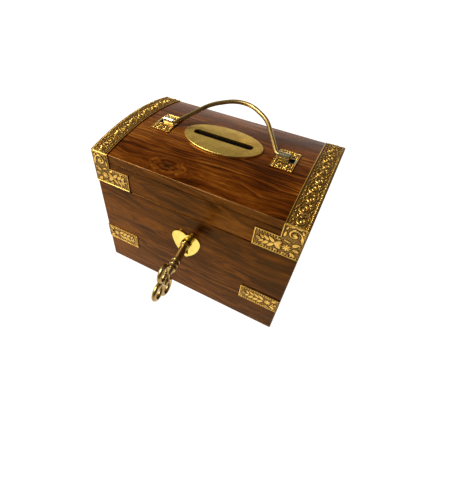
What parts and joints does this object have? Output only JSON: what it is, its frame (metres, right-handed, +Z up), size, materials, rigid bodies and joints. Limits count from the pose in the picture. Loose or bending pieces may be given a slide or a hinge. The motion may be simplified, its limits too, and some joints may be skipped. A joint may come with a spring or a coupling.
{
  "type": "wooden money box",
  "caption": "Small arched-lid wooden chest for saving coins, with brass bands, an oval slot plate, a rod handle, a heart-shaped keyhole plate and a lock that the key turns.",
  "frame": {"origin": "middle of the box's underside, in the plane that it stands on", "axes": "+X to the right along the box's length, -Y towards the key side, +Z up"},
  "size_m": [0.102, 0.1003, 0.0889],
  "materials": {
    "wood_body": "glossy lacquer",
    "wood_lid": "glossy lacquer",
    "embossed_brass": "stamped relief, bright high points",
    "satin_brass": "satin",
    "polished_brass": "polished",
    "cast_brass": "worn polish",
    "nail_brass": "dull",
    "hinge_brass": "satin",
    "lock_brass": "dull",
    "steel": "bright"
  },
  "bodies": {
    "box": {"front_panel": "wood_body", "back_panel": "wood_body", "left_end_panel": "wood_body", "right_end_panel": "wood_body", "bottom_panel": "wood_body", "corner_strap_left": "embossed_brass", "corner_strap_right": "embossed_brass", "strap_pins": "nail_brass", "escutcheon": "polished_brass", "lock_case": "lock_brass", "lock_cover_plate": "lock_brass", "lock_screws": "steel", "bolt_spring": "steel", "hinge_body_leaf_left": "hinge_brass", "hinge_body_leaf_right": "hinge_brass", "hinge_pin_left": "hinge_brass", "hinge_pin_right": "hinge_brass", "hinge_body_screws": "hinge_brass"},
    "lid": {"lid_top": "wood_lid", "lid_front_rail": "wood_body", "lid_back_rail": "wood_body", "lid_left_end": "wood_body", "lid_right_end": "wood_body", "slot_plate": "satin_brass", "band_left": "embossed_brass", "band_right": "embossed_brass", "band_pins": "nail_brass", "handle_plate_left": "embossed_brass", "handle_plate_right": "embossed_brass", "handle_plate_pins": "nail_brass", "lock_strike": "lock_brass", "strike_screws": "steel", "hinge_lid_leaf_left": "hinge_brass", "hinge_lid_leaf_right": "hinge_brass", "hinge_lid_screws": "hinge_brass"},
    "handle": {"handle_bail": "cast_brass"},
    "key": {"key": "cast_brass"},
    "bolt": {"lock_bolt": "lock_brass"}
  },
  "joints": [
    {"name": "lid_hinge", "type": "hinge", "parent": "box", "child": "lid", "pos_m": [0, 0.03365, 0.0572], "axis": [-1, 0, 0], "range_deg": [0, 180]},
    {"name": "handle_swing", "type": "hinge", "parent": "lid", "child": "handle", "pos_m": [0, 0.0009, 0.08023], "axis": [1, 0, 0], "range_deg": [-25, 160]},
    {"name": "key_turn", "type": "hinge", "parent": "box", "child": "key", "pos_m": [0, -0.03175, 0.039], "axis": [0.0692, -0.9901, -0.1219], "range_deg": [0, 50]},
    {"name": "bolt_slide", "type": "slide", "parent": "box", "child": "bolt", "axis": [1, 0, 0], "range_m": [0, 0.0048]}
  ],
  "couplings": [
    {"joint": "key_turn", "follows": "bolt_slide", "rad_per_m": 181.8}
  ]
}
